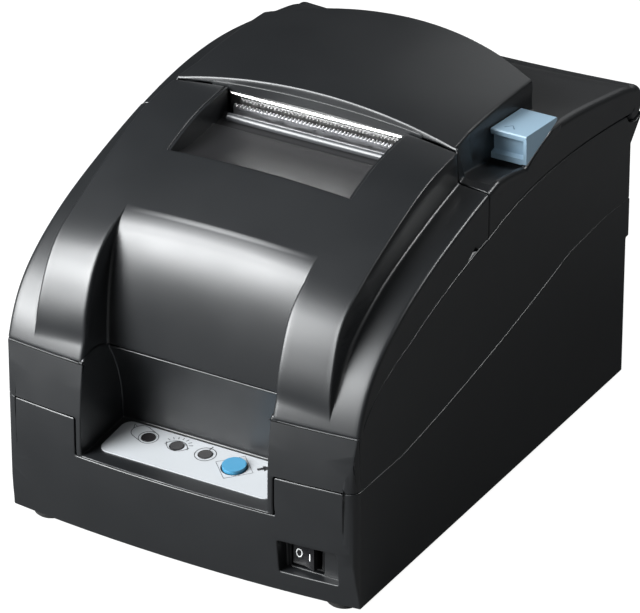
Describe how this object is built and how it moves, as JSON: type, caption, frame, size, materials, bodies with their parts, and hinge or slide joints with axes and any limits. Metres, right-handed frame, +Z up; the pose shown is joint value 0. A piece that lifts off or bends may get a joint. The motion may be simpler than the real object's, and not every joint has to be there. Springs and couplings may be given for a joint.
{
  "type": "dot matrix receipt printer",
  "caption": "Desktop dot matrix receipt printer in charcoal plastic, with a bowed front, a tilting ribbon cover, a hinged paper roll cover with its lever, a feed panel and a rocker switch.",
  "frame": {"origin": "centre of the printer's outer box in plan, on the table under its feet", "axes": "+Z up, +X to the right of someone who faces the front, +Y from the front to the back"},
  "size_m": [0.158, 0.2378, 0.1628],
  "materials": {
    "case": "satin",
    "cover": "satin",
    "black": "matte",
    "rocker": "gloss",
    "feet": "matte",
    "steel": "brushed",
    "bright": "polished",
    "zinc": "satin",
    "blue": "satin",
    "feedblue": "satin",
    "label": "satin",
    "lens": "gloss",
    "board": "satin",
    "parts": "satin",
    "alu": "cast",
    "brass": "machined",
    "rubber": "matte",
    "gearwhite": "satin",
    "ribbonink": "matte",
    "knobblue": "satin"
  },
  "bodies": {
    "case": {"bottom_case": "case", "middle_case": "case", "case_posts": "case", "rubber_feet": "feet", "case_screws": "steel", "ribbon_hinge_pins": "steel", "roll_hinge_pins": "steel", "latch_post": "zinc", "panel_label": "label", "status_lenses": "lens", "feed_spring": "steel", "panel_board": "board", "switch_body": "black", "main_board": "board", "board_parts": "parts", "board_screws": "steel", "port_board": "board", "parallel_port": "zinc", "power_inlet": "black", "drawer_jack": "black", "frame": "zinc", "frame_screws": "steel", "carriage_shaft": "bright", "head_rail": "bright", "carriage_motor": "zinc", "timing_belt": "rubber", "platen": "zinc", "exit_guide": "black", "tear_bar": "steel", "exit_rail": "bright", "feed_motor": "zinc", "ribbon_cassette": "black", "ribbon": "ribbonink", "roll_bucket": "black", "bucket_screws": "steel"},
    "ribbon_cover": {"ribbon_cover": "cover", "paper_chute": "black"},
    "roll_cover": {"roll_cover": "cover", "cover_guide_plate": "bright", "lever_pin": "steel", "lever_spring": "steel"},
    "lever": {"cover_lever": "blue"},
    "feed_button": {"feed_button": "feedblue"},
    "rocker": {"power_rocker": "rocker"},
    "carriage": {"carriage": "black", "print_head": "alu", "head_sink": "alu"},
    "motor_pulley": {"motor_pulley": "brass"},
    "idler_pulley": {"idler_pulley": "gearwhite"},
    "feed_roller": {"feed_roller": "rubber", "feed_gear": "gearwhite"},
    "pressure_roller": {"pressure_roller": "rubber"},
    "idler_gear": {"idler_gear": "gearwhite"},
    "feed_pinion": {"feed_pinion": "brass"},
    "ribbon_knob": {"ribbon_knob": "knobblue"},
    "paper_sensor": {"paper_sensor": "black"}
  },
  "joints": [
    {"name": "ribbon_cover_hinge", "type": "hinge", "parent": "case", "child": "ribbon_cover", "pos_m": [0, -0.10604, 0.066], "axis": [1, 0, 0], "range_deg": [0, 62]},
    {"name": "roll_cover_hinge", "type": "hinge", "parent": "case", "child": "roll_cover", "pos_m": [0, 0.112, 0.1245], "axis": [-1, 0, 0], "range_deg": [0, 75]},
    {"name": "lever_turn", "type": "hinge", "parent": "roll_cover", "child": "lever", "pos_m": [0.07, 0.0418, 0.1424], "axis": [-1, 0, 0], "range_deg": [0, 15], "stiffness_Nm_per_rad": 0.05},
    {"name": "feed_press", "type": "slide", "parent": "case", "child": "feed_button", "axis": [0, 0.0991, -0.9951], "range_m": [0, 0.001], "stiffness_N_per_m": 400, "deforming": ["feed_spring"]},
    {"name": "power_rock", "type": "hinge", "parent": "case", "child": "rocker", "pos_m": [0.0545, -0.10574, 0.0209], "axis": [0, 0, 1], "range_deg": [0, 18]},
    {"name": "carriage_slide", "type": "slide", "parent": "case", "child": "carriage", "axis": [1, 0, 0], "range_m": [-0.031, 0.031]},
    {"name": "motor_pulley_spin", "type": "hinge", "parent": "case", "child": "motor_pulley", "pos_m": [0.043, -0.06, 0.09], "axis": [0, 0, 1], "range_deg": [-330, 330]},
    {"name": "idler_pulley_spin", "type": "hinge", "parent": "case", "child": "idler_pulley", "pos_m": [-0.043, -0.06, 0.09], "axis": [0, 0, 1], "range_deg": [-330, 330]},
    {"name": "feed_spin", "type": "hinge", "parent": "case", "child": "feed_roller", "pos_m": [0, -0.0036, 0.104], "axis": [1, 0, 0], "continuous": true},
    {"name": "pressure_spin", "type": "hinge", "parent": "case", "child": "pressure_roller", "pos_m": [0, -0.0134, 0.104], "axis": [1, 0, 0], "continuous": true},
    {"name": "idler_gear_spin", "type": "hinge", "parent": "case", "child": "idler_gear", "pos_m": [0, -0.01579, 0.0884], "axis": [1, 0, 0], "continuous": true},
    {"name": "pinion_spin", "type": "hinge", "parent": "case", "child": "feed_pinion", "pos_m": [0, -0.02784, 0.08471], "axis": [1, 0, 0], "continuous": true},
    {"name": "ribbon_knob_turn", "type": "hinge", "parent": "case", "child": "ribbon_knob", "pos_m": [-0.036, -0.07, 0.118], "axis": [0, 0, 1], "continuous": true},
    {"name": "paper_sensor_turn", "type": "hinge", "parent": "case", "child": "paper_sensor", "pos_m": [0, 0.053, 0.05], "axis": [1, 0, 0], "range_deg": [0, 14], "stiffness_Nm_per_rad": 0.002}
  ],
  "couplings": [
    {"joint": "motor_pulley_spin", "follows": "carriage_slide", "rad_per_m": -181.82},
    {"joint": "idler_pulley_spin", "follows": "carriage_slide", "rad_per_m": -181.82},
    {"joint": "pressure_spin", "follows": "feed_spin", "ratio": -1.25},
    {"joint": "idler_gear_spin", "follows": "feed_spin", "ratio": -1.2},
    {"joint": "pinion_spin", "follows": "feed_spin", "ratio": 3}
  ]
}
